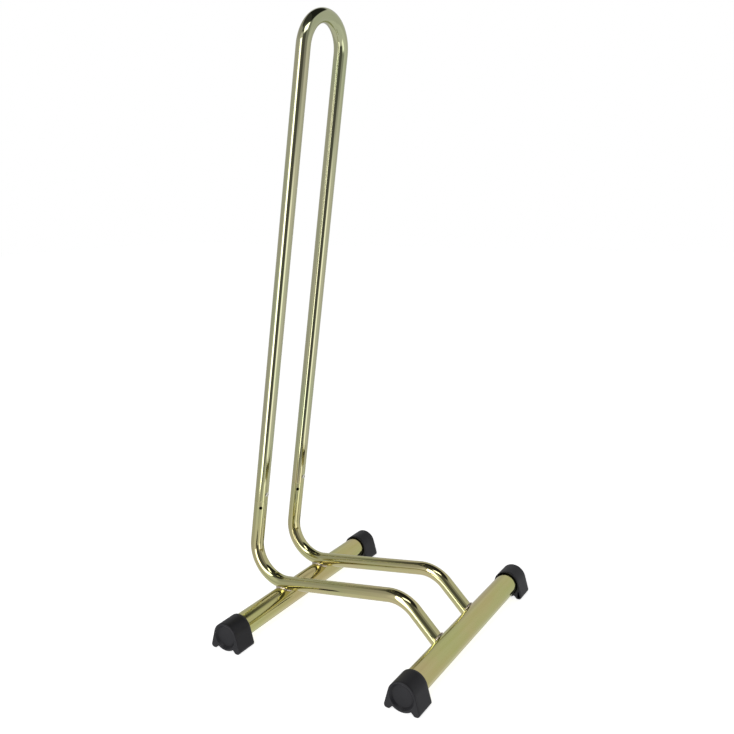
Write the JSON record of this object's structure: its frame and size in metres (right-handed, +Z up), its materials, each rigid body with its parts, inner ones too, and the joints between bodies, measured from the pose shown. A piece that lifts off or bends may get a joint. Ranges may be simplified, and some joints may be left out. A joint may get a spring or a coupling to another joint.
{
  "type": "bicycle wheel floor stand",
  "caption": "Floor stand of bent plated tube that holds a bicycle wheel upright between the legs of a tall narrow loop, on cross tubes with plastic feet.",
  "frame": {"origin": "middle of the stand's outline, on the floor it rests on", "axes": "+X to the front, where the wheel rolls in; +Y to the left; +Z up"},
  "size_m": [0.3446, 0.3494, 0.8213],
  "materials": {
    "gold_zinc_polished": "polished yellow-passivated zinc plating",
    "gold_zinc_satin": "satin yellow-passivated zinc plating",
    "gold_zinc_weld": "plated weld bead",
    "zinc_sleeve": "plain zinc plating",
    "rivet_steel": "plated, bright",
    "foot_plastic": "moulded, fine texture"
  },
  "bodies": {
    "root": {"upper_loop": "gold_zinc_polished", "lower_tube_left": "gold_zinc_polished", "lower_tube_right": "gold_zinc_polished", "joint_sleeve_left": "zinc_sleeve", "joint_sleeve_right": "zinc_sleeve", "blind_rivet_left": "rivet_steel", "blind_rivet_right": "rivet_steel", "rivet_mandrel_left": "rivet_steel", "rivet_mandrel_right": "rivet_steel", "rear_cross_tube": "gold_zinc_satin", "front_cross_tube": "gold_zinc_satin", "rear_weld_left": "gold_zinc_weld", "rear_weld_right": "gold_zinc_weld", "front_weld_left": "gold_zinc_weld", "front_weld_right": "gold_zinc_weld", "rear_foot_left": "foot_plastic", "rear_foot_right": "foot_plastic", "front_foot_left": "foot_plastic", "front_foot_right": "foot_plastic"}
  },
  "joints": []
}
